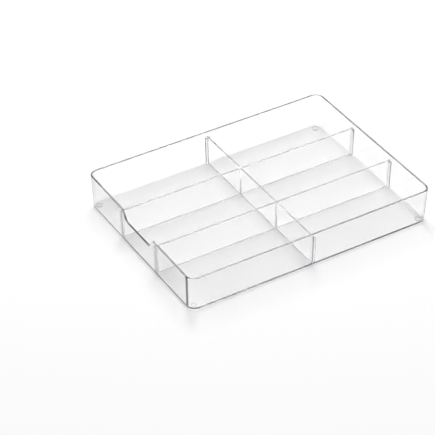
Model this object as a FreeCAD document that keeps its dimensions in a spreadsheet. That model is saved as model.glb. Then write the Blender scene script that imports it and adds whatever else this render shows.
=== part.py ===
import FreeCAD, Part
import os
import Sketcher

# Clear drawer organizer insert. A moulded tray with leaning walls and a finger notch in its front wall
# holds a lift-out grid of three divider plates, which makes six compartments. The plates stand between
# ribs on the walls and cross in half-lap slots. Four soft feet sit in pockets under the tray.
# Frame: millimetres, origin under the middle of the tray at the level that the feet stand on, +Z up,
# -Y towards the notch, so +Y is the tray's length and +X its width.

DIMENSIONS = [
    ("length", 335, "tray along Y, at the rim"),
    ("width", 245, "tray along X, at the rim"),
    ("depth", 47.5, "tray from its underside to the rim"),
    ("draft", 1.8, "degrees that the walls lean out"),
    ("wall", 2.4, "walls and floor"),
    ("corner", 12, "outside radius of the upright corners"),
    ("corner_inside", 8, "inside radius of the upright corners"),
    ("base_edge", 3, "outside radius round the underside"),
    ("floor_edge", 1.0, "inside radius where the walls meet the floor"),
    ("rim_edge", 0.7, "rounding of the rim's two edges"),
    ("notch_top", 72, "finger notch's width at the rim"),
    ("notch_floor", 55, "finger notch's width at its floor"),
    ("notch_drop", 13.2, "finger notch's floor below the rim"),
    ("notch_inner", 2.5, "radius in the notch's two lower corners"),
    ("notch_outer", 1.5, "radius on the notch's two upper corners"),
    ("plate", 2, "divider thickness"),
    ("plate_tall", 39.5, "divider height above the tray's floor"),
    ("plate_edge", 0.4, "rounding along a divider's top"),
    ("plate_heel", 1.6, "corner cut at a divider's two lower ends"),
    ("third", 40.3, "long dividers' distance from the middle"),
    ("play", 0.15, "gap on each side of a divider in a slot"),
    ("end_play", 0.4, "gap between a divider's end and the wall"),
    ("rib", 2, "width of a guide rib"),
    ("rib_proud", 2, "guide rib's height off the wall"),
    ("rib_short", 1.5, "guide rib's top below the dividers' top"),
    ("rib_cut", 1.2, "corner cut at the top of a guide rib, where a divider is led in"),
    ("foot", 8, "foot diameter"),
    ("foot_tall", 1.6, "foot height"),
    ("foot_proud", 0.8, "part of a foot that stands below the tray"),
    ("foot_inset", 9, "foot's centre in from the underside's edges"),
    ("foot_play", 0.1, "gap round a foot in its pocket"),
    ("foot_edge", 0.4, "rounding of a foot's edge"),
]
SHEET = "dims"
NEAR = 0.01

# Expressions that more than one sketch uses. Heights in them are above the tray's underside.
LEAN = "tan(dims.draft)"
WALL_ACROSS = "dims.wall / cos(dims.draft)"
PLATE_TOP = "(dims.wall + dims.plate_tall)"
BESIDE_PLATE = "(dims.plate / 2 + dims.play)"
UNDERSIDE_HALF = tuple(f"(dims.{span} / 2 - dims.depth * {LEAN})" for span in ("width", "length"))
FOOT_CENTRE = tuple(f"({half} - dims.foot_inset)" for half in UNDERSIDE_HALF)


def inner_half(span, height):
    """Distance from the middle to the inner face of a wall, at a height."""
    return f"({span} / 2 - (dims.depth - {height}) * {LEAN} - {WALL_ACROSS})"


def make_sheet(doc):
    sheet = doc.addObject("Spreadsheet::Sheet", SHEET)
    for row, (alias, value, words) in enumerate(DIMENSIONS, start=1):
        sheet.set(f"A{row}", alias)
        sheet.set(f"B{row}", str(value))
        sheet.set(f"C{row}", words)
        sheet.setAlias(f"B{row}", alias)
    doc.recompute()
    return sheet


def add_body(doc, label):
    body = doc.addObject("PartDesign::Body", label)
    body.Label = label
    return body


def origin_plane(body, role):
    return next(feature for feature in body.Origin.OriginFeatures if feature.Role == role)


def add_sketch(body, name, role, lift=None):
    """A sketch on one of the body's own origin planes, moved along the plane's normal by lift."""
    sketch = body.newObject("Sketcher::SketchObject", name)
    sketch.AttachmentSupport = [(origin_plane(body, role), "")]
    sketch.MapMode = "FlatFace"
    if lift:
        sketch.setExpression("AttachmentOffset.Base.z", lift)
    return sketch


def draw_outline(sketch, corners):
    """A closed outline of straight lines, each corner dimensioned from the origin by two expressions."""
    spots = [[float(sketch.evalExpression(term)) for term in corner] for corner in corners]
    count = len(corners)
    for i, spot in enumerate(spots):
        following = spots[(i + 1) % count]
        sketch.addGeometry(Part.LineSegment(FreeCAD.Vector(*spot, 0), FreeCAD.Vector(*following, 0)))
    for i in range(count):
        sketch.addConstraint(Sketcher.Constraint("Coincident", i, 2, (i + 1) % count, 1))
    for i, corner in enumerate(corners):
        for kind, value, term in zip(("DistanceX", "DistanceY"), spots[i], corner):
            dimension = sketch.addConstraint(Sketcher.Constraint(kind, -1, 1, i, 1, value))
            sketch.setExpression(f"Constraints[{dimension}]", term)


def draw_circle(sketch, across, up, radius):
    """A full circle whose centre and radius are expressions."""
    spot = [float(sketch.evalExpression(term)) for term in (across, up)]
    size = float(sketch.evalExpression(radius))
    sketch.addGeometry(Part.Circle(FreeCAD.Vector(*spot, 0), FreeCAD.Vector(0, 0, 1), size))
    rows = [
        (Sketcher.Constraint("DistanceX", -1, 1, 0, 3, spot[0]), across),
        (Sketcher.Constraint("DistanceY", -1, 1, 0, 3, spot[1]), up),
        (Sketcher.Constraint("Radius", 0, size), radius),
    ]
    for constraint, term in rows:
        sketch.setExpression(f"Constraints[{sketch.addConstraint(constraint)}]", term)


def add_feature(body, kind, name, **expressions):
    """A PartDesign feature whose numeric properties are bound to expressions."""
    feature = body.newObject(f"PartDesign::{kind}", name)
    for prop, term in expressions.items():
        feature.setExpression(prop, term)
    return feature


def add_pad(body, sketch, name, length, **expressions):
    pad = add_feature(body, "Pad", name, Length=length, **expressions)
    pad.Profile = sketch
    return pad


def add_pocket(body, sketch, name, length):
    """A pocket cut along the sketch's own normal, so into the body from its underside or its middle."""
    pocket = add_feature(body, "Pocket", name, Length=length)
    pocket.Profile = sketch
    pocket.Reversed = True
    return pocket


def add_fillet(body, name, radius, wanted):
    """Rounds the edges of the body so far that wanted(edge) picks."""
    body.Document.recompute()
    base = body.Tip
    names = [f"Edge{i}" for i, edge in enumerate(base.Shape.Edges, start=1) if wanted(edge)]
    fillet = add_feature(body, "Fillet", name, Radius=radius)
    fillet.Base = (base, names)
    return fillet


def repeat_in_quarters(body, name, feature):
    """Repeats a feature in all four quarters of the plan, by mirroring it front to back and side to side."""
    group = body.newObject("PartDesign::MultiTransform", name)
    group.Originals = [feature]
    steps = []
    for role in ("XZ_Plane", "YZ_Plane"):
        step = body.newObject("PartDesign::Mirrored", f"{name}_{role}")
        step.MirrorPlane = (origin_plane(body, role), [""])
        steps.append(step)
    group.Transformations = steps
    body.Tip = group


def at_height(shape, height):
    """True for an edge or a face that lies flat at a height."""
    box = shape.BoundBox
    return abs(box.ZMin - height) < NEAR and abs(box.ZMax - height) < NEAR


def rib_profile(span):
    """A guide rib's outline, standing on the floor against a leaning wall, with its top corner cut off."""
    root = "(dims.wall / 2)"
    top = f"({PLATE_TOP} - dims.rib_short)"
    cut = f"({top} - dims.rib_cut)"
    return [
        (f"{inner_half(span, root)} - dims.rib_proud", root),
        (f"{inner_half(span, root)} + {root}", root),
        (f"{inner_half(span, top)} + {root}", top),
        (f"{inner_half(span, top)} - dims.rib_proud + dims.rib_cut", top),
        (f"{inner_half(span, cut)} - dims.rib_proud", cut),
    ]


def cut_notch(body, sheet):
    """The finger notch through the front wall, then the rounding of its corners and of the whole rim."""
    outline = add_sketch(body, "notch_outline", "XZ_Plane")
    floor = "dims.depth - dims.notch_drop"
    above = "dims.depth + dims.notch_drop"
    draw_outline(outline, [
        ("-dims.notch_floor / 2", floor), ("dims.notch_floor / 2", floor),
        ("dims.notch_top / 2", "dims.depth"), ("dims.notch_top / 2", above),
        ("-dims.notch_top / 2", above), ("-dims.notch_top / 2", "dims.depth"),
    ])
    add_pocket(body, outline, "notch", "dims.length")
    floor_height = sheet.depth - sheet.notch_drop

    def crosses_wall(edge):
        box = edge.BoundBox
        return max(box.XLength, box.ZLength) < NEAR

    def corner_at(half, height):
        def wanted(edge):
            centre = edge.BoundBox.Center
            return (crosses_wall(edge) and abs(abs(centre.x) - half) < NEAR
                    and abs(centre.z - height) < NEAR)
        return wanted

    def along_rim(edge):
        return edge.BoundBox.ZMin > floor_height - NEAR and not crosses_wall(edge)

    add_fillet(body, "notch_lower", "dims.notch_inner", corner_at(sheet.notch_floor / 2, floor_height))
    add_fillet(body, "notch_upper", "dims.notch_outer", corner_at(sheet.notch_top / 2, sheet.depth))
    add_fillet(body, "rim_round", "dims.rim_edge", along_rim)


def tray_shell(doc, sheet):
    """The moulded tray: a leaning-walled box, shelled, notched at the front, ribbed, with foot pockets."""
    body = add_body(doc, "tray_shell")
    body.setExpression("Placement.Base.z", "dims.foot_proud")

    underside = add_sketch(body, "underside", "XY_Plane")
    half_x, half_y = UNDERSIDE_HALF
    draw_outline(underside, [(f"-{half_x}", f"-{half_y}"), (half_x, f"-{half_y}"),
                             (half_x, half_y), (f"-{half_x}", half_y)])
    add_pad(body, underside, "block", "dims.depth", TaperAngle="dims.draft")

    mouth = add_sketch(body, "mouth", "XY_Plane", "dims.depth")
    half_x, half_y = [inner_half(span, "dims.depth") for span in ("dims.width", "dims.length")]
    draw_outline(mouth, [(f"-{half_x}", f"-{half_y}"), (half_x, f"-{half_y}"),
                         (half_x, half_y), (f"-{half_x}", half_y)])
    hollow = add_feature(body, "Pocket", "hollow", Length="dims.depth - dims.wall", TaperAngle="-dims.draft")
    hollow.Profile = mouth

    def upright_corner(nearest, farthest):
        """Picks the corner edges whose distance in from the tray's rim is in a range."""
        def wanted(edge):
            box = edge.BoundBox
            inset = max(sheet.width / 2 - abs(box.Center.x), sheet.length / 2 - abs(box.Center.y))
            return box.ZLength > sheet.depth / 2 and nearest < inset < farthest
        return wanted

    add_fillet(body, "inner_corners", "dims.corner_inside", upright_corner(sheet.wall, 2 * sheet.wall))
    add_fillet(body, "corners", "dims.corner", upright_corner(0, sheet.wall))
    add_fillet(body, "base_round", "dims.base_edge", lambda edge: at_height(edge, 0))
    add_fillet(body, "floor_round", "dims.floor_edge", lambda edge: at_height(edge, sheet.wall))

    cut_notch(body, sheet)
    for name, plane, span, lift in (
        ("side", "XZ_Plane", "dims.width", BESIDE_PLATE),
        ("inner_end", "YZ_Plane", "dims.length", f"dims.third - {BESIDE_PLATE} - dims.rib"),
        ("outer_end", "YZ_Plane", "dims.length", f"dims.third + {BESIDE_PLATE}"),
    ):
        outline = add_sketch(body, f"{name}_rib_outline", plane, lift)
        draw_outline(outline, rib_profile(span))
        rib = add_pad(body, outline, f"{name}_rib", "dims.rib")
        repeat_in_quarters(body, f"{name}_ribs", rib)

    well = add_sketch(body, "foot_pocket_outline", "XY_Plane")
    draw_circle(well, *FOOT_CENTRE, "dims.foot / 2 + dims.foot_play")
    pocket = add_pocket(body, well, "foot_pocket", "dims.foot_tall - dims.foot_proud")
    repeat_in_quarters(body, "foot_pockets", pocket)
    return body


def plate_outline(span, top_slots, bottom_slots):
    """A divider seen from its side, standing at height 0. Its ends lean with the walls, and a half-lap
    slot goes half-way through it at each place listed, from the top or from the bottom."""
    top, heel = "dims.plate_tall", "dims.plate_heel"

    def end(height):
        return f"({inner_half(span, f'(dims.wall + {height})')} - dims.end_play)"

    def slot(where, mouth, play):
        left, right = f"{where} - {BESIDE_PLATE}", f"{where} + {BESIDE_PLATE}"
        blind = f"dims.plate_tall / 2 {play} dims.play"
        return [(left, mouth), (left, blind), (right, blind), (right, mouth)]

    lower = [corner for where in bottom_slots for corner in slot(where, "0", "+")]
    upper = [corner for where in top_slots for corner in slot(where, top, "-")]
    right_end = [(f"{end('0')} - {heel}", "0"), (end(heel), heel), (end(top), top)]
    left_end = [(f"-({across})", up) for across, up in reversed(right_end)]
    return lower + right_end + upper[::-1] + left_end


def divider(doc, sheet, label, role, span, offset=None, top_slots=(), bottom_slots=()):
    """One divider plate standing on the tray's floor, with its top edges rounded."""
    body = add_body(doc, label)
    body.setExpression("Placement.Base.z", "dims.foot_proud + dims.wall")
    if offset:
        body.setExpression("Placement.Base.x", offset)
    outline = add_sketch(body, f"{label}_outline", role)
    draw_outline(outline, plate_outline(span, top_slots, bottom_slots))
    pad = add_pad(body, outline, f"{label}_plate", "dims.plate")
    pad.SideType = "Symmetric"
    add_fillet(body, f"{label}_top", "dims.plate_edge",
               lambda edge: at_height(edge, sheet.plate_tall) and edge.Length > sheet.plate * 2)
    return body


def foot(doc, sheet, label, across, along):
    """A soft round foot in its pocket, with a rounded lower edge."""
    body = add_body(doc, label)
    for axis, side, centre in zip("xy", (across, along), FOOT_CENTRE):
        body.setExpression(f"Placement.Base.{axis}", f"{side} * {centre}")
    outline = add_sketch(body, f"{label}_outline", "XY_Plane")
    draw_circle(outline, "0", "0", "dims.foot / 2")
    add_pad(body, outline, f"{label}_disc", "dims.foot_tall")
    add_fillet(body, f"{label}_edge", "dims.foot_edge", lambda edge: at_height(edge, 0))
    return body


def check(doc, bodies):
    """Stops unless every object recomputed and every sub-part is one valid solid."""
    failed = [o.Name for o in doc.Objects if {"Invalid", "Error"} & set(o.State)]
    if failed:
        raise RuntimeError(f"objects that failed: {failed}")
    for body in bodies:
        shape = body.Shape
        if shape.isNull() or not shape.isValid() or len(shape.Solids) != 1:
            raise RuntimeError(f"{body.Label} isn't one valid solid")


def main():
    doc = FreeCAD.newDocument("drawer_insert")
    sheet = make_sheet(doc)
    bodies = [
        tray_shell(doc, sheet),
        divider(doc, sheet, "cross_divider", "XZ_Plane", "dims.width",
                top_slots=("-dims.third", "dims.third")),
    ]
    for side_name, offset in (("left", "-dims.third"), ("right", "dims.third")):
        bodies.append(divider(doc, sheet, f"long_divider_{side_name}", "YZ_Plane", "dims.length", offset,
                              bottom_slots=("0",)))
    for end_name, along in (("front", -1), ("rear", 1)):
        for side_name, across in (("left", -1), ("right", 1)):
            bodies.append(foot(doc, sheet, f"foot_{end_name}_{side_name}", across, along))
    doc.recompute()
    check(doc, bodies)
    os.makedirs("parts", exist_ok=True)
    for body in bodies:
        body.Shape.exportStep(f"parts/{body.Label}.step")
        box = body.Shape.BoundBox
        print(f"{body.Label}: {box.XLength:.1f} x {box.YLength:.1f} x {box.ZLength:.1f} mm, "
              f"{body.Shape.Volume / 1000:.1f} cm3, {len(body.Shape.Faces)} faces")


main()
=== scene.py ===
import math

import bmesh
import bpy
import numpy as np
from mathutils import Matrix, Vector


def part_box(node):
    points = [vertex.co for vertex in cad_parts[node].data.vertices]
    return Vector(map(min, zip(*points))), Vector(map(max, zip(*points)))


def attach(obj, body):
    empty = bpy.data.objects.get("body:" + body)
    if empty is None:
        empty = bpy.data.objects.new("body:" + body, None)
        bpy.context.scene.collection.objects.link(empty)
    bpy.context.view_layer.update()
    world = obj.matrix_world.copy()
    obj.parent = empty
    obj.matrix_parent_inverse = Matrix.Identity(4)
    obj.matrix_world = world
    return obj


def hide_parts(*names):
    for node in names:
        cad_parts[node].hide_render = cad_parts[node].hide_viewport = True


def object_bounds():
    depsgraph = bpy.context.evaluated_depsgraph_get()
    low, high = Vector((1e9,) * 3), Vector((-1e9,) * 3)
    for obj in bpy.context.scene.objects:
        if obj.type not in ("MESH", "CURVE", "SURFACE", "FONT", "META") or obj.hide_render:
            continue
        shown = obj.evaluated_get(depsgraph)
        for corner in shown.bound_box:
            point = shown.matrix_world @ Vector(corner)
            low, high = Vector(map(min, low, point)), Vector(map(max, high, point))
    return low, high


bl_info = {
    "name": "Clear drawer insert",
    "version": (1, 0, 0),
    "blender": (4, 5, 0),
    "location": "3D View > Sidebar > Insert",
    "description": "Builds a clear moulded drawer insert with lift-out dividers around its packed CAD frame",
    "category": "Object",
}

# Lengths are metres, as in the frame, with MM for sizes that a maker gives in millimetres.
MM = 0.001
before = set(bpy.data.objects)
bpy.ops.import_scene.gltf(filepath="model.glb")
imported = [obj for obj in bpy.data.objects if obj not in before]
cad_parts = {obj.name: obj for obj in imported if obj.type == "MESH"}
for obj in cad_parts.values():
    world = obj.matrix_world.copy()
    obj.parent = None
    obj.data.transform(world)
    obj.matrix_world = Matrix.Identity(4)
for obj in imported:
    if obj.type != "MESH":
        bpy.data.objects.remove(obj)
CAD_LOW, CAD_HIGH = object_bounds()
TRAY_LOW, TRAY_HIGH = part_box("tray_shell")
PLATE_LOW, PLATE_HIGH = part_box("cross_divider")
FOOT_LOW, FOOT_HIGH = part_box("foot_front_left")
LONG_PLATES = {side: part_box(f"long_divider_{side}") for side in ("left", "right")}
FEET = [f"foot_{end}_{side}" for end in ("front", "rear") for side in ("left", "right")]

# Faces that meet at a larger angle than this shade as a sharp edge.
SHARP_FROM = math.radians(32)

# The stage: where the camera and the softbox are, how far the floor reaches and where the painted shade that
# stands in for its light falling off begins.
CAMERA_AIM = Vector((-16.08, -47.99, 1.5)) * MM
SENSOR_WIDTH_MM = 36
SOFTBOX_AT = Vector((-0.95, 0.5, 2.0))
SOFTBOX_SIDE = 0.9
FLOOR_HALF = 4.0
FLOOR_FALLS_OFF = (0.7, 1.6)
FLOOR_GAP = 0.02 * MM
# A ray may cross many faces of the nested clear walls before it leaves them.
CLEAR_BOUNCES = 48


def size_prop(name, millimetres, description):
    """A length property in metres, with its default given in millimetres."""
    return bpy.props.FloatProperty(name=name, default=millimetres * MM, min=0.0, subtype="DISTANCE",
                                   unit="LENGTH", precision=4, description=description)


def angle_prop(name, degrees, description):
    """An angle property in radians, with its default given in degrees."""
    return bpy.props.FloatProperty(name=name, default=math.radians(degrees), subtype="ANGLE",
                                   description=description)


def number_prop(name, value, description):
    return bpy.props.FloatProperty(name=name, default=value, precision=4, description=description)


def linear(hex_colour):
    """An sRGB hex colour as three linear values: the sRGB curve undone, channel by channel."""
    channels = np.array([int(hex_colour[i:i + 2], 16) / 255 for i in (1, 3, 5)])
    low = channels / 12.92
    high = ((channels + 0.055) / 1.055) ** 2.4
    return tuple(float(value) for value in np.where(channels <= 0.04045, low, high))


def colour_prop(name, hex_colour, description):
    """A colour property, with its default given as an sRGB hex colour."""
    return bpy.props.FloatVectorProperty(name=name, default=linear(hex_colour), subtype="COLOR", size=3,
                                         min=0.0, max=1.0, description=description)


class TraySizes(bpy.types.PropertyGroup):
    """Sizes of the moulded tray that its CAD box doesn't give."""
    draft: angle_prop("Draft", 1.8, "How far the walls lean out")
    wall: size_prop("Wall", 2.4, "Thickness of the walls and the floor")
    corner: size_prop("Corner radius", 12, "Outside radius of the upright corners")
    corner_inside: size_prop("Inner corner radius", 8, "Inside radius of the upright corners")
    base_edge: size_prop("Base edge", 3.0, "Outside radius round the underside")
    floor_edge: size_prop("Floor edge", 1.0, "Inside radius where a wall meets the floor")
    rim_edge: size_prop("Rim edge", 0.7, "Rounding of the rim's two edges")
    notch_top: size_prop("Notch width at the rim", 72, "Finger notch's width at the rim")
    notch_floor: size_prop("Notch width at its floor", 55, "Finger notch's width at its floor")
    notch_drop: size_prop("Notch drop", 13.2, "Finger notch's floor below the rim")
    notch_inner: size_prop("Notch lower radius", 2.5, "Radius in the notch's lower corners")
    notch_outer: size_prop("Notch upper radius", 1.5, "Radius on the notch's upper corners")
    rib: size_prop("Rib width", 2.0, "Width of a guide rib")
    rib_proud: size_prop("Rib height", 2.0, "Height of a guide rib off its wall")
    rib_edge: size_prop("Rib edge", 0.25, "Rounding of a guide rib's edges")
    rib_short: size_prop("Rib shortfall", 1.5, "Guide rib's top below the dividers' top")
    rib_cut: size_prop("Rib lead-in", 1.2, "Corner cut at a guide rib's top")
    slot_play: size_prop("Slot play", 0.15, "Gap on each side of a divider between its ribs")


class DividerSizes(bpy.types.PropertyGroup):
    """Sizes of the divider plates that their CAD boxes don't give."""
    top_edge: size_prop("Top edge", 0.4, "Rounding along a divider's top")
    edge: size_prop("Other edges", 0.25, "Rounding of a divider's other edges")
    heel: size_prop("Heel", 1.6, "Corner cut at a divider's two lower ends")
    slot_play: size_prop("Half-lap play", 0.15, "Gap round a divider in another one's half-lap slot")
    air: size_prop("Air film", 0.05, "Film of air between a divider and the tray's floor")


class FootSizes(bpy.types.PropertyGroup):
    """Sizes of the soft feet and of their pockets."""
    pocket_deep: size_prop("Pocket depth", 0.8, "How deep a foot is set into the tray")
    pocket_play: size_prop("Pocket play", 0.1, "Gap round a foot in its pocket")
    edge: size_prop("Foot edge", 0.4, "Rounding of a foot's lower edge")
    crown: size_prop("Crown", 0.12, "How much a foot's underside is domed")


class Finishes(bpy.types.PropertyGroup):
    """Colours of the clear plastics, the silicone and the stage, with the stage's painted shade and painted
    dark reflection.
    """
    styrene: colour_prop("Polystyrene", "#ffffff", "Tint of the clear polystyrene's surface")
    styrene_flow: colour_prop("Polystyrene flow", "#fcfcfc", "Tint where the melt flowed last")
    styrene_depth: colour_prop("Polystyrene depth", "#9a98b0", "Colour that a long way through it takes on")
    silicone: colour_prop("Silicone", "#ffffff", "Tint of the clear silicone")
    silicone_haze: colour_prop("Silicone haze", "#f6f7f8", "Tint where the silicone is cloudy")
    floor: colour_prop("Floor", "#fdfdfd", "The pale floor of the stage")
    # Painted dark reflection: this darker floor tone is seen only in rays that the tray's faces mirror to the
    # eye, and it paints the tray's dark edge lines.
    floor_painted_dark_reflection: colour_prop("Floor mirrored", "#8a887f", "The floor as the tray's faces mirror it")
    # Painted shade: the floor is painted dark grey far from the tray, standing in for light that falls off
    # away from it.
    floor_painted_falloff_shade: colour_prop("Floor edge", "#3c3c40", "The floor beyond the reach of the studio lights")


class StageSettings(bpy.types.PropertyGroup):
    """Where the camera stands and how bright the studio is."""
    azimuth: angle_prop("Azimuth", 59.0, "Camera's bearing, 0 looking along +Y")
    elevation: angle_prop("Elevation", 37.18, "Camera's height above the horizon")
    roll: angle_prop("Roll", -0.25, "Camera's turn about its own axis")
    distance: size_prop("Distance", 2389.9, "Camera's distance from the point it aims at")
    lens: bpy.props.FloatProperty(name="Lens", default=163.3, unit="CAMERA",
                                  description="Focal length on a 36 mm sensor, in millimetres")
    dome: number_prop("Dome", 0.78, "Strength of the white studio dome overhead")
    horizon: number_prop("Horizon", 0.1, "Share of the dome's strength that is left at the horizon")
    horizon_low: number_prop("Dark up to", 0.05, "Sine of the elevation where the dome starts to brighten")
    horizon_high: number_prop("Bright from", 0.35, "Sine of the elevation where the dome is at full strength")
    flag: angle_prop("Flag height", 37.0, "Elevation of the darker flag that faces the camera")
    flag_share: number_prop("Flag tone", 0.45, "Share of the dome's strength that the flag gives off")
    flag_inner: angle_prop("Flag core", 16.0, "Angle from the flag's middle within which it is darkest")
    flag_outer: angle_prop("Flag edge", 30.0, "Angle from the flag's middle at which it has faded out")
    key: number_prop("Key light", 21.0, "Power of the large soft light, in watts")


SETTINGS = {
    "insert_tray": TraySizes,
    "insert_divider": DividerSizes,
    "insert_foot": FootSizes,
    "insert_finish": Finishes,
    "insert_stage": StageSettings,
}


# Shapes

def turn(start, end, steps):
    """Angles in degrees from start to end, evenly spaced, as radians."""
    return np.radians(np.linspace(start, end, steps + 1))


def rounded_path(corners, radii, steps):
    """An open or closed run of straight lines whose corners are replaced by arcs. At each corner, the arc
    starts and ends at radius / tan(half the inside angle) from it, and its points are the centre plus the
    radius turned in even steps from one tangent point to the other. A radius of 0 keeps the corner."""
    points = []
    count = len(corners)
    for i, (corner, radius) in enumerate(zip(corners, radii)):
        if radius == 0:
            points.append(np.array([corner]))
            continue
        back = corners[i - 1] - corner
        ahead = corners[(i + 1) % count] - corner
        back = back / np.linalg.norm(back)
        ahead = ahead / np.linalg.norm(ahead)
        half = math.acos(np.clip(back @ ahead, -1, 1)) / 2
        centre = corner + (back + ahead) / np.linalg.norm(back + ahead) * radius / math.sin(half)
        first = corner + back * radius / math.tan(half) - centre
        last = corner + ahead * radius / math.tan(half) - centre
        sweep = math.pi - 2 * half
        share = np.linspace(0, 1, steps + 1)[:, None]
        arc = (np.sin((1 - share) * sweep) * first + np.sin(share * sweep) * last) / math.sin(sweep)
        points.append(centre + arc)
    return np.concatenate(points)


def grid_quads(rows, columns, start=0):
    """Quads between neighbouring rows of a grid that closes on itself along its columns, as an array of
    four vertex numbers each."""
    row, column = np.meshgrid(np.arange(rows - 1), np.arange(columns), indexing="ij")
    ahead = (column + 1) % columns
    quads = np.stack([row * columns + column, row * columns + ahead,
                      (row + 1) * columns + ahead, (row + 1) * columns + column], axis=-1)
    return quads.reshape(-1, 4) + start


def rib_plan(sizes, half_plate):
    """A guide rib in plan, as distance from the divider's middle and height off the wall: a top hat with
    rounded tips and a small fillet at its foot, whose sides lean by a twentieth of a millimetre."""
    inner = half_plate + sizes.slot_play
    middle = inner + sizes.rib / 2
    half, proud, edge, lean = sizes.rib / 2, sizes.rib_proud, sizes.rib_edge, 0.05 * MM
    corners = np.array([(-half - edge, 0), (-half, 0), (-half + lean, proud), (half - lean, proud),
                        (half, 0), (half + edge, 0)])
    outline = rounded_path(corners, [0, edge * 0.6, edge, edge, edge * 0.6, 0], 4)
    return outline[:, 0] + middle, outline[:, 1]


def tray_columns(sizes):
    """The tray's columns, in order round its rim. Each has the centre that its corner or side turns about
    at the rim, the way that centre moves as the wall leans, the outward direction, the rim's height and
    the height of a guide rib off the wall. On a side, the centre is straight in from the wall by the
    corner radius. On a corner, it is the corner's own centre."""
    half_x, half_y = TRAY_HIGH.x, TRAY_HIGH.y
    slack = math.tan(sizes.draft) * sizes.rim_edge
    core = np.array([half_x + slack - sizes.corner, half_y + slack - sizes.corner])
    plate = (PLATE_HIGH.y - PLATE_LOW.y) / 2
    across, height = rib_plan(sizes, plate)
    pair_at, pair_height = np.concatenate([-across[::-1], across]), np.concatenate([height[::-1], height])
    thirds = [(low.x + high.x) / 2 for low, high in LONG_PLATES.values()]
    notch_at, notch_height = notch_line(sizes)
    sides = [
        ((0, -1), core, thirds, True),
        ((1, 0), core[::-1], [0.0], False),
        ((0, 1), core, thirds, False),
        ((-1, 0), core[::-1], [0.0], False),
    ]
    centres, leans, normals, rims, ribs = [], [], [], [], []
    for normal, (reach, depth), ribbed, notched in sides:
        normal = np.array(normal, float)
        along = np.array([-normal[1], normal[0]])
        sign = along.sum()
        stations = np.concatenate([pair_at + middle * sign for middle in ribbed])
        heights = np.concatenate([pair_height for _ in ribbed])
        order = np.argsort(stations)
        stations, heights = stations[order], heights[order]
        if notched:
            stations = np.concatenate([stations, notch_at])
            heights = np.concatenate([heights, np.zeros(len(notch_at))])
            order = np.argsort(stations)
            stations, heights = stations[order], heights[order]
        fill = np.linspace(-reach, reach, 17)[1:-1]
        gap = np.abs(fill[:, None] - stations[None, :]).min(axis=1)
        fill = fill[gap > sizes.rib]
        stations = np.concatenate([stations, fill])
        heights = np.concatenate([heights, np.zeros(len(fill))])
        order = np.argsort(stations)
        stations, heights = stations[order], heights[order]
        rim = np.interp(stations, notch_at, notch_height) if notched else np.full(len(stations), TRAY_HIGH.z)
        centres.append(stations[:, None] * along + normal * depth)
        leans.append(np.repeat(normal[None], len(stations), axis=0))
        normals.append(np.repeat(normal[None], len(stations), axis=0))
        rims.append(rim)
        ribs.append(heights)

        angle = turn(0, 90, 48)[:, None]
        arc = np.cos(angle) * normal + np.sin(angle) * along
        corner = normal + along
        centre = corner * np.abs(normal * depth + along * reach)
        centres.append(np.repeat(centre[None], len(arc), axis=0))
        leans.append(np.repeat(corner[None], len(arc), axis=0))
        normals.append(arc)
        rims.append(np.full(len(arc), TRAY_HIGH.z))
        ribs.append(np.zeros(len(arc)))
    return [np.concatenate(part) for part in (centres, leans, normals, rims, ribs)]


def notch_line(sizes):
    """The rim's height along the front wall: level, down a slanted side, level along the notch's floor,
    and up again, with rounded corners."""
    top, low = TRAY_HIGH.z, TRAY_HIGH.z - sizes.notch_drop
    wide, narrow = sizes.notch_top / 2, sizes.notch_floor / 2
    end = wide + 4 * sizes.notch_outer
    right = np.array([(0, low), (narrow, low), (wide, top), (end, top)])
    half = rounded_path(right, [0, sizes.notch_inner, sizes.notch_outer, 0], 10)
    slope = half[(half[:, 1] > low + 1e-6) & (half[:, 1] < top - 1e-6)]
    extra = np.linspace(slope[len(slope) // 2 - 1], slope[len(slope) // 2], 8)[1:-1]
    half = np.concatenate([half, extra])
    half = half[np.argsort(half[:, 0])]
    line = np.concatenate([half[:0:-1] * (-1, 1), half])
    return line[:, 0], line[:, 1]


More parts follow.
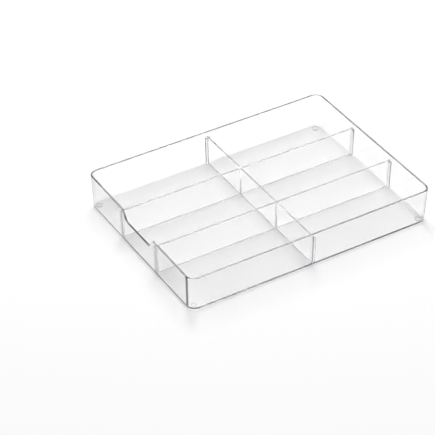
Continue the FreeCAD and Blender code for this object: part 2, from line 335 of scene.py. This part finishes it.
def tray_surface(sizes):
    """The tray's skin as a grid. Columns run round the rim. Rows follow the wall's section: the arc round
    the underside, up the outside, over the rounded rim, down the inside and round the arc to the floor.
    A point is its column's centre, moved in by the wall's lean at its height, plus the outward direction
    times what is left of the corner radius after the row's inset and the guide rib. Where a wall leans by
    d, an arc of radius r at angle a is inset by r (sin a tan d + side / cos d - cos a)."""
    centres, leans, normals, rims, ribs = tray_columns(sizes)
    draft = sizes.draft
    tangent, cosine = math.tan(draft), math.cos(draft)
    degrees = math.degrees(draft)
    across = sizes.wall / cosine
    low, top = TRAY_LOW.z, TRAY_HIGH.z
    floor = low + sizes.wall
    ones = np.ones(len(rims))

    def arc(radius, start, end, steps, side, from_outside, height):
        angle = turn(start, end, steps)[:, None]
        inset = radius * (np.sin(angle) * tangent + side / cosine - np.cos(angle)) + from_outside
        return inset * ones, height + radius * np.sin(angle)

    def straight(shares, inset, bottom, upper):
        shares = np.array(shares)[:, None]
        return inset * ones * np.ones_like(shares), bottom + (upper - bottom) * shares

    base_top = low + sizes.base_edge * (1 - math.sin(draft))
    floor_top = floor + sizes.floor_edge * (1 - math.sin(draft))
    rim_middle = rims - sizes.rim_edge
    outer_top = rim_middle - sizes.rim_edge * math.sin(draft)
    inner_top = rim_middle + sizes.rim_edge * math.sin(draft)
    rib_top = PLATE_HIGH.z - sizes.rib_short
    rib_rows = np.array([floor_top, floor_top + 0.3 * MM, rib_top - sizes.rib_cut - 0.2 * MM,
                         rib_top - sizes.rib_cut, rib_top - sizes.rib_cut + 0.1 * MM,
                         rib_top - 0.15 * MM, rib_top - 0.03 * MM, rib_top, rib_top + 0.1 * MM,
                         rib_top + 0.4 * MM])
    full = top - sizes.rim_edge * (1 - math.sin(draft))
    rib_shares = (rib_rows - floor_top) / (full - floor_top)
    sections = [
        arc(sizes.base_edge, -90, -degrees, 14, 1, 0, (low + sizes.base_edge) * ones),
        straight([0.01, 0.5, 0.98], 0, base_top, outer_top),
        arc(sizes.rim_edge, -degrees, 90, 7, 1, 0, rim_middle),
        arc(sizes.rim_edge, 90, 180 - degrees, 7, -1, across, rim_middle),
        straight([0.99, *rib_shares[:0:-1]], across, floor_top, inner_top),
        arc(sizes.floor_edge, -degrees, -90, 8, 1, across, (floor + sizes.floor_edge) * ones),
    ]
    inset = np.concatenate([part[0] for part in sections])
    height = np.concatenate([np.broadcast_to(part[1], part[0].shape) for part in sections])
    middle, inside = np.cumsum([len(part[0]) for part in sections])[2:4]

    rib_depth = np.interp(height, [rib_top - sizes.rib_cut, rib_top - 0.03 * MM, rib_top + 0.07 * MM],
                          [sizes.rib_proud, sizes.rib_proud - sizes.rib_cut, 0])
    rib_depth[:inside] = 0
    depth = inset + np.minimum(rib_depth, ribs)
    lean = (height - top) * tangent
    places = centres + leans * lean[..., None] + normals * (sizes.corner - depth)[..., None]
    thicken = np.where(np.arange(len(inset)) < middle, 0, sizes.corner - across - sizes.corner_inside)
    places = places + (leans - normals) * thicken[:, None, None]
    return np.concatenate([places, height[..., None]], axis=-1)


def plate_outline(low, high, heel, play, plate, top_slots, bottom_slots, draft, radius):
    """A divider from its side, counter-clockwise: along the bottom, up an end that leans with the wall,
    back along the top and down the other end. A half-lap slot goes half-way through, as wide as the
    plate and its play. It comes back with each corner's radius."""
    reach_top = high[0]
    reach_low = reach_top - (high[1] - low[1]) * math.tan(draft)
    reach_heel = reach_top - (high[1] - low[1] - heel) * math.tan(draft)
    middle = (low[1] + high[1]) / 2
    half = plate / 2 + play

    def slot(where, mouth, blind):
        return [(where - half, mouth), (where - half, blind), (where + half, blind), (where + half, mouth)]

    lower = [p for where in bottom_slots for p in slot(where, low[1], middle + play)]
    upper = [p for where in top_slots for p in slot(where, high[1], middle - play)]
    right = [(reach_low - heel, low[1]), (reach_heel, low[1] + heel), (reach_top, high[1])]
    left = [(-x, z) for x, z in right[::-1]]
    corners = np.array(lower + right + upper[::-1] + left)
    return corners, np.full(len(corners), radius)


def inset_outline(outline, distance):
    """A closed outline moved in by a distance for each edge. Each vertex goes where its two moved edges
    cross, which is the solution of two equations: its move against each edge's normal."""
    ahead = np.roll(outline, -1, axis=0) - outline
    normal = np.stack([ahead[:, 1], -ahead[:, 0]], axis=1) / np.linalg.norm(ahead, axis=1)[:, None]
    before, after = np.roll(normal, 1, axis=0), normal
    back, on = np.roll(distance, 1), distance
    cross = before[:, 0] * after[:, 1] - before[:, 1] * after[:, 0]
    flat = np.abs(cross) < 1e-6
    safe = np.where(flat, 1, cross)
    move_x = (-back * after[:, 1] + on * before[:, 1]) / safe
    move_y = (-on * before[:, 0] + back * after[:, 0]) / safe
    straight = -after * on[:, None]
    return outline + np.where(flat[:, None], straight, np.stack([move_x, move_y], axis=1))


def plate_surface(outline, thickness, edge, top_edge, top):
    """A divider's skin: rows of its outline, each moved in by r (1 - sin a) and set r (1 - cos a) back from
    the full thickness, for a from 90 to 0 degrees on one side and from 0 to 90 on the other. Edges along
    the top take the larger radius.
    Known fault: the rows run in the wrong order, so the flat faces lie r inside the full thickness and
    only a ridge round the edge reaches it, and a corner between two radii overshoots its outline. The two
    turns have to be swapped and the radii made equal."""
    following = np.roll(outline, -1, axis=0)
    along_top = (outline[:, 1] > top - 1e-6) & (following[:, 1] > top - 1e-6)
    radius = np.where(along_top, top_edge, edge)
    vertex_radius = np.maximum(radius, np.roll(radius, 1))
    rows = []
    for side in (-1, 1):
        angles = turn(90, 0, 6) if side < 0 else turn(0, 90, 6)
        for angle in angles:
            moved = inset_outline(outline, radius * (1 - math.sin(angle)))
            out = side * (thickness / 2 - vertex_radius * (1 - math.cos(angle)))
            rows.append(np.column_stack([moved, out]))
    return np.array(rows)


# Meshes and materials

def make_mesh(name, points, quads, caps):
    """A closed mesh from a grid's points and quads, and caps: lists of vertex loops, each filled flat with
    its first loop outside and any others as holes. Edges sharper than SHARP_FROM shade as sharp. A mesh
    whose volume comes out negative is turned the right way out."""
    mesh = bpy.data.meshes.new(name)
    mesh.from_pydata(points.tolist(), [], quads.tolist())
    model = bmesh.new()
    model.from_mesh(mesh)
    model.verts.ensure_lookup_table()
    for face in model.faces:
        face.smooth = True
    for loops in caps:
        if len(loops) == 1:
            model.faces.new([model.verts[i] for i in loops[0]])
            continue
        edges = [model.edges.get((model.verts[a], model.verts[b]))
                 for loop in loops for a, b in zip(loop, np.roll(loop, -1))]
        bmesh.ops.triangle_fill(model, use_beauty=True, edges=edges)
    bmesh.ops.recalc_face_normals(model, faces=model.faces)
    if model.calc_volume(signed=True) < 0:
        bmesh.ops.reverse_faces(model, faces=model.faces)
    for edge in model.edges:
        if len(edge.link_faces) != 2:
            raise RuntimeError(f"{name} isn't closed")
        edge.smooth = edge.calc_face_angle() < SHARP_FROM
    model.to_mesh(mesh)
    model.free()
    return mesh


def add_piece(name, mesh, material, body, node):
    """Puts a mesh in the scene as the visible piece for a CAD node."""
    piece = bpy.data.objects.new(name, mesh)
    bpy.context.scene.collection.objects.link(piece)
    mesh.materials.append(material)
    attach(piece, body)
    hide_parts(node)
    return piece


def add_node(tree, kind, links=None, **settings):
    """Adds a shader node. Settings name its own fields or, failing that, its inputs. Links name its inputs
    and give the output that feeds each."""
    node = tree.nodes.new(kind)
    for key, value in settings.items():
        if hasattr(node, key):
            setattr(node, key, value)
        else:
            node.inputs[key.replace("_", " ")].default_value = value
    for key, output in (links or {}).items():
        tree.links.new(output, node.inputs[key])
    return node


def add_math(tree, operation, first, second):
    """Adds a maths node for an output and a second output or a plain number."""
    node = add_node(tree, "ShaderNodeMath", operation=operation)
    tree.links.new(first, node.inputs[0])
    if isinstance(second, float):
        node.inputs[1].default_value = second
    else:
        tree.links.new(second, node.inputs[1])
    return node


def new_material(name):
    material = bpy.data.materials.new(name)
    material.use_nodes = True
    material.node_tree.nodes.clear()
    return material, material.node_tree


def clear_polystyrene(name, finish, flow_scale):
    """Crystal polystyrene, injection moulded in a polished tool: glass-clear, with a high IOR that makes
    bright and dark edges, a very slight long ripple from the melt's flow, and a violet-grey depth."""
    material, tree = new_material(name)
    place = add_node(tree, "ShaderNodeTexCoord")
    stretched = add_node(tree, "ShaderNodeMapping", {"Vector": place.outputs["Object"]}, Scale=flow_scale)
    flow = add_node(tree, "ShaderNodeTexNoise", {"Vector": stretched.outputs["Vector"]},
                    Scale=1 / (45 * MM), Detail=2.0, Roughness=0.4)
    tint = add_node(tree, "ShaderNodeMix", {"Factor": flow.outputs["Fac"]}, data_type="RGBA")
    tint.inputs[6].default_value = (*finish.styrene, 1)
    tint.inputs[7].default_value = (*finish.styrene_flow, 1)
    handling = add_node(tree, "ShaderNodeTexNoise", {"Vector": place.outputs["Object"]},
                        Scale=1 / (12 * MM), Detail=4.0, Roughness=0.6)
    gloss = add_node(tree, "ShaderNodeMapRange", {"Value": handling.outputs["Fac"]},
                     From_Min=0.35, From_Max=0.75, To_Min=0.004, To_Max=0.02)
    ripple = add_node(tree, "ShaderNodeBump", {"Height": flow.outputs["Fac"]},
                      Strength=1.0, Distance=0.02 * MM)
    skin = add_node(tree, "ShaderNodeBsdfPrincipled",
                    {"Base Color": tint.outputs[2], "Roughness": gloss.outputs["Result"],
                     "Normal": ripple.outputs["Normal"]},
                    IOR=1.59, Transmission_Weight=1.0)
    depth = add_node(tree, "ShaderNodeVolumeAbsorption", Color=(*finish.styrene_depth, 1), Density=5.0)
    add_node(tree, "ShaderNodeOutputMaterial",
             {"Surface": skin.outputs["BSDF"], "Volume": depth.outputs["Volume"]})
    return material


def clear_silicone(finish):
    """Clear silicone rubber, moulded: soft gloss, a lower IOR than the tray's and a faint cloudiness."""
    material, tree = new_material("clear silicone, moulded")
    place = add_node(tree, "ShaderNodeTexCoord")
    cloud = add_node(tree, "ShaderNodeTexNoise", {"Vector": place.outputs["Object"]},
                     Scale=1 / (2.5 * MM), Detail=3.0, Roughness=0.5)
    tint = add_node(tree, "ShaderNodeMix", {"Factor": cloud.outputs["Fac"]}, data_type="RGBA")
    tint.inputs[6].default_value = (*finish.silicone, 1)
    tint.inputs[7].default_value = (*finish.silicone_haze, 1)
    gloss = add_node(tree, "ShaderNodeMapRange", {"Value": cloud.outputs["Fac"]},
                     From_Min=0.3, From_Max=0.7, To_Min=0.04, To_Max=0.1)
    skin = add_node(tree, "ShaderNodeBsdfPrincipled",
                    {"Base Color": tint.outputs[2], "Roughness": gloss.outputs["Result"]},
                    IOR=1.41, Transmission_Weight=1.0)
    add_node(tree, "ShaderNodeOutputMaterial", {"Surface": skin.outputs["BSDF"]})
    return material


# Operators

def settings(name):
    return getattr(bpy.context.scene, name)


class BuildTray(bpy.types.Operator):
    """Builds the clear moulded tray with its notch, guide ribs and foot pockets"""
    bl_idname = "insert.build_tray"
    bl_label = "Tray"

    def execute(self, context):
        sizes, foot = settings("insert_tray"), settings("insert_foot")
        surface = tray_surface(sizes)
        rows, columns = surface.shape[:2]
        points = [surface.reshape(-1, 3)]
        quads = [grid_quads(rows, columns)]
        start = rows * columns
        turns = 48
        holes, ceilings = [], []
        radius = (FOOT_HIGH.x - FOOT_LOW.x) / 2 + foot.pocket_play
        angle = np.linspace(0, 2 * math.pi, turns, endpoint=False)
        circle = np.stack([np.cos(angle), np.sin(angle)], axis=1) * radius
        for name in FEET:
            low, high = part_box(name)
            middle = np.array([(low.x + high.x) / 2, (low.y + high.y) / 2])
            for height in (TRAY_LOW.z, TRAY_LOW.z + foot.pocket_deep):
                points.append(np.column_stack([circle + middle, np.full(turns, height)]))
            quads.append(grid_quads(2, turns, start))
            holes.append(np.arange(turns) + start)
            ceilings.append([np.arange(turns) + start + turns])
            start += 2 * turns
        underside = [np.arange(columns), *holes]
        floor = [np.arange(columns) + (rows - 1) * columns]
        mesh = make_mesh("tray", np.concatenate(points), np.concatenate(quads), [underside, floor, *ceilings])
        material = clear_polystyrene("crystal polystyrene, moulded tray", settings("insert_finish"),
                                     (1, 0.4, 1))
        add_piece("tray", mesh, material, "tray", "tray_shell")
        return {"FINISHED"}


class BuildDividers(bpy.types.Operator):
    """Builds the three lift-out divider plates"""
    bl_idname = "insert.build_dividers"
    bl_label = "Dividers"

    def execute(self, context):
        sizes, draft = settings("insert_divider"), settings("insert_tray").draft
        plate = PLATE_HIGH.y - PLATE_LOW.y
        thirds = [(low.x + high.x) / 2 for low, high in LONG_PLATES.values()]
        material = clear_polystyrene("crystal polystyrene, moulded divider", settings("insert_finish"),
                                     (0.4, 0.4, 1))
        rows = [("cross_divider", "cross", PLATE_LOW, PLATE_HIGH, 0, thirds, [])]
        for side, (low, high) in LONG_PLATES.items():
            rows.append((f"long_divider_{side}", f"long_{side}", low, high, 1, [], [0.0]))
        for node, body, low, high, axis, top_slots, bottom_slots in rows:
            outline_low = (low[axis], low.z + sizes.air)
            outline_high = (high[axis], high.z)
            corners, radii = plate_outline(outline_low, outline_high, sizes.heel, sizes.slot_play, plate,
                                           top_slots, bottom_slots, draft, sizes.edge)
            outline = rounded_path(corners, radii, 4)
            skin = plate_surface(outline, plate, sizes.edge * 0.9, sizes.top_edge, high.z)
            count = len(outline)
            points = skin.reshape(-1, 3)
            if axis == 0:
                points = points[:, [0, 2, 1]]
            else:
                points = points[:, [2, 0, 1]]
                points[:, 0] += (low.x + high.x) / 2
            caps = [[np.arange(count)], [np.arange(count) + (len(skin) - 1) * count]]
            mesh = make_mesh(node, points, grid_quads(len(skin), count), caps)
            add_piece(f"{node}_plate", mesh, material, body, node)
        return {"FINISHED"}


class BuildFeet(bpy.types.Operator):
    """Builds the four clear soft feet in their pockets"""
    bl_idname = "insert.build_feet"
    bl_label = "Feet"

    def execute(self, context):
        sizes = settings("insert_foot")
        material = clear_silicone(settings("insert_finish"))
        turns = 64
        angle = np.linspace(0, 2 * math.pi, turns, endpoint=False)[None, :]
        radius = (FOOT_HIGH.x - FOOT_LOW.x) / 2
        tall = FOOT_HIGH.z - FOOT_LOW.z - 0.02 * MM
        share = np.linspace(0, 1, 9)[1:]
        dome = np.column_stack([share * (radius - sizes.edge), sizes.crown * share ** 4])
        edge = turn(-90, 0, 8)[1:]
        lower = np.column_stack([radius - sizes.edge + sizes.edge * np.cos(edge),
                                 sizes.crown + sizes.edge * (1 + np.sin(edge))])
        upper = np.array([(radius, tall - 0.25 * MM), (radius - 0.05 * MM, tall - 0.08 * MM),
                          (radius - 0.2 * MM, tall)])
        section = np.concatenate([dome, lower, upper])
        for name in FEET:
            low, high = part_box(name)
            middle = ((low.x + high.x) / 2, (low.y + high.y) / 2)
            across = section[:, 0][:, None]
            points = np.stack([middle[0] + across * np.cos(angle), middle[1] + across * np.sin(angle),
                               low.z + section[:, 1][:, None] * np.ones_like(angle)], axis=-1)
            rows = len(section)
            caps = [[np.arange(turns)], [np.arange(turns) + (rows - 1) * turns]]
            mesh = make_mesh(name, points.reshape(-1, 3), grid_quads(rows, turns), caps)
            add_piece(f"{name}_pad", mesh, material, "tray", name)
        return {"FINISHED"}


class BuildStage(bpy.types.Operator):
    """Adds the pale floor, the soft studio light and the camera"""
    bl_idname = "insert.build_stage"
    bl_label = "Stage"

    def execute(self, context):
        stage, finish = settings("insert_stage"), settings("insert_finish")
        scene = context.scene
        add_floor(finish)
        add_dome(scene, stage)
        add_key_light(scene, stage)
        add_camera(scene, stage)
        scene.view_settings.view_transform = "Standard"
        scene.cycles.max_bounces = CLEAR_BOUNCES
        scene.cycles.transmission_bounces = CLEAR_BOUNCES
        scene.cycles.glossy_bounces = CLEAR_BOUNCES
        # The default filter takes away most of the light that reaches the floor through the tray.
        scene.cycles.blur_glossy = 0.0
        return {"FINISHED"}


def add_floor(finish):
    """A pale matt floor just under the feet. Two things in it are painted light, for the look: painted shade
    turns it dark grey far from the tray, and a ray that a face has mirrored straight to the eye sees a
    painted darker floor, a painted dark reflection which draws the edges."""
    half = FLOOR_HALF
    mesh = bpy.data.meshes.new("floor")
    corners = [(-half, -half, 0), (half, -half, 0), (half, half, 0), (-half, half, 0)]
    mesh.from_pydata(corners, [], [(0, 1, 2, 3)])
    floor = bpy.data.objects.new("floor", mesh)
    floor.location.z = CAD_LOW.z - FLOOR_GAP
    bpy.context.scene.collection.objects.link(floor)
    material, tree = new_material("matt paper floor")
    place = add_node(tree, "ShaderNodeTexCoord")
    away = add_node(tree, "ShaderNodeVectorMath", {"Vector": place.outputs["Object"]}, operation="LENGTH")
    # Painted shade: the floor's colour fades to dark grey away from the tray, a painted pool of light round
    # it.
    fade = add_node(tree, "ShaderNodeMapRange", {"Value": away.outputs["Value"]},
                    interpolation_type="SMOOTHSTEP", From_Min=FLOOR_FALLS_OFF[0], From_Max=FLOOR_FALLS_OFF[1])
    tone = add_node(tree, "ShaderNodeMix", {"Factor": fade.outputs["Result"]}, data_type="RGBA")
    tone.inputs[6].default_value = (*finish.floor, 1)
    tone.inputs[7].default_value = (*finish.floor_painted_falloff_shade, 1)
    # A transmitted ray counts as glossy too, so it is taken away. Diffuse depth is 0 on the way to the eye.
    ray = add_node(tree, "ShaderNodeLightPath")
    bounced = add_math(tree, "SUBTRACT", ray.outputs["Is Glossy Ray"], ray.outputs["Is Transmission Ray"])
    bounced.use_clamp = True
    direct = add_math(tree, "LESS_THAN", ray.outputs["Diffuse Depth"], 0.5)
    both = add_math(tree, "MULTIPLY", bounced.outputs["Value"], direct.outputs["Value"])
    # Painted dark reflection: a ray that a face mirrors straight to the eye sees the floor painted in a
    # darker tone.
    mirrored = add_node(tree, "ShaderNodeMix", {"Factor": both.outputs["Value"]}, data_type="RGBA")
    tree.links.new(tone.outputs[2], mirrored.inputs[6])
    mirrored.inputs[7].default_value = (*finish.floor_painted_dark_reflection, 1)
    skin = add_node(tree, "ShaderNodeBsdfPrincipled", {"Base Color": mirrored.outputs[2]}, Roughness=0.9,
                    Specular_IOR_Level=0.0)
    add_node(tree, "ShaderNodeOutputMaterial", {"Surface": skin.outputs["BSDF"]})
    mesh.materials.append(material)


def add_dome(scene, stage):
    """A white studio dome, dark at the horizon, with a darker flag opposite the camera that the dividers'
    undersides mirror as a line along their base."""
    world = bpy.data.worlds.new("studio dome")
    scene.world = world
    world.use_nodes = True
    tree = world.node_tree
    tree.nodes.clear()
    place = add_node(tree, "ShaderNodeTexCoord")
    split = add_node(tree, "ShaderNodeSeparateXYZ", {"Vector": place.outputs["Generated"]})
    rise = add_node(tree, "ShaderNodeMapRange", {"Value": split.outputs["Z"]},
                    interpolation_type="SMOOTHSTEP", From_Min=stage.horizon_low, From_Max=stage.horizon_high,
                    To_Min=stage.dome * stage.horizon, To_Max=stage.dome)
    toward = Vector((-math.sin(stage.azimuth) * math.cos(stage.flag),
                     math.cos(stage.azimuth) * math.cos(stage.flag), math.sin(stage.flag)))
    near = add_node(tree, "ShaderNodeVectorMath", {"Vector": place.outputs["Generated"]},
                    operation="DOT_PRODUCT")
    near.inputs[1].default_value = toward
    flag = add_node(tree, "ShaderNodeMapRange", {"Value": near.outputs["Value"]},
                    interpolation_type="SMOOTHSTEP", From_Min=math.cos(stage.flag_outer),
                    From_Max=math.cos(stage.flag_inner), To_Min=1.0, To_Max=stage.flag_share)
    lit = add_math(tree, "MULTIPLY", rise.outputs["Result"], flag.outputs["Result"])
    sky = add_node(tree, "ShaderNodeBackground", {"Strength": lit.outputs["Value"]}, Color=(1, 1, 1, 1))
    add_node(tree, "ShaderNodeOutputWorld", {"Surface": sky.outputs["Background"]})


def add_key_light(scene, stage):
    """A soft box above and behind the tray, on the left, too high for the tray's floor to mirror it."""
    light = bpy.data.lights.new("key softbox", "AREA")
    light.shape = "RECTANGLE"
    light.size = SOFTBOX_SIDE
    light.size_y = SOFTBOX_SIDE
    light.energy = stage.key
    softbox = bpy.data.objects.new("key softbox", light)
    softbox.location = SOFTBOX_AT
    softbox.rotation_euler = (-SOFTBOX_AT).to_track_quat("-Z", "Y").to_euler()
    scene.collection.objects.link(softbox)


def add_camera(scene, stage):
    """A long lens on the chosen bearing, aimed a little in front of the tray's middle."""
    back = Vector((math.sin(stage.azimuth) * math.cos(stage.elevation),
                   -math.cos(stage.azimuth) * math.cos(stage.elevation), math.sin(stage.elevation)))
    data = bpy.data.cameras.new("camera")
    data.lens = stage.lens
    data.sensor_width = SENSOR_WIDTH_MM
    data.clip_end = 50
    camera = bpy.data.objects.new("camera", data)
    scene.collection.objects.link(camera)
    turned = (-back).to_track_quat("-Z", "Y").to_matrix() @ Matrix.Rotation(stage.roll, 3, "Z")
    camera.matrix_world = Matrix.Translation(CAMERA_AIM + back * stage.distance) @ turned.to_4x4()
    scene.camera = camera


OPERATORS = (BuildTray, BuildDividers, BuildFeet, BuildStage)


class InsertPanel(bpy.types.Panel):
    """Lists the steps that build the insert"""
    bl_idname = "VIEW3D_PT_insert"
    bl_label = "Drawer insert"
    bl_space_type = "VIEW_3D"
    bl_region_type = "UI"
    bl_category = "Insert"

    def draw(self, context):
        for operator in OPERATORS:
            self.layout.operator(operator.bl_idname)


def register():
    for name, group in SETTINGS.items():
        bpy.utils.register_class(group)
        setattr(bpy.types.Scene, name, bpy.props.PointerProperty(type=group))
    for kind in (*OPERATORS, InsertPanel):
        bpy.utils.register_class(kind)


def unregister():
    for kind in (InsertPanel, *reversed(OPERATORS)):
        bpy.utils.unregister_class(kind)
    for name, group in reversed(SETTINGS.items()):
        delattr(bpy.types.Scene, name)
        bpy.utils.unregister_class(group)


def main():
    register()
    bpy.ops.insert.build_tray()
    bpy.ops.insert.build_dividers()
    bpy.ops.insert.build_feet()
    bpy.ops.insert.build_stage()


if __name__ == "__main__":
    main()
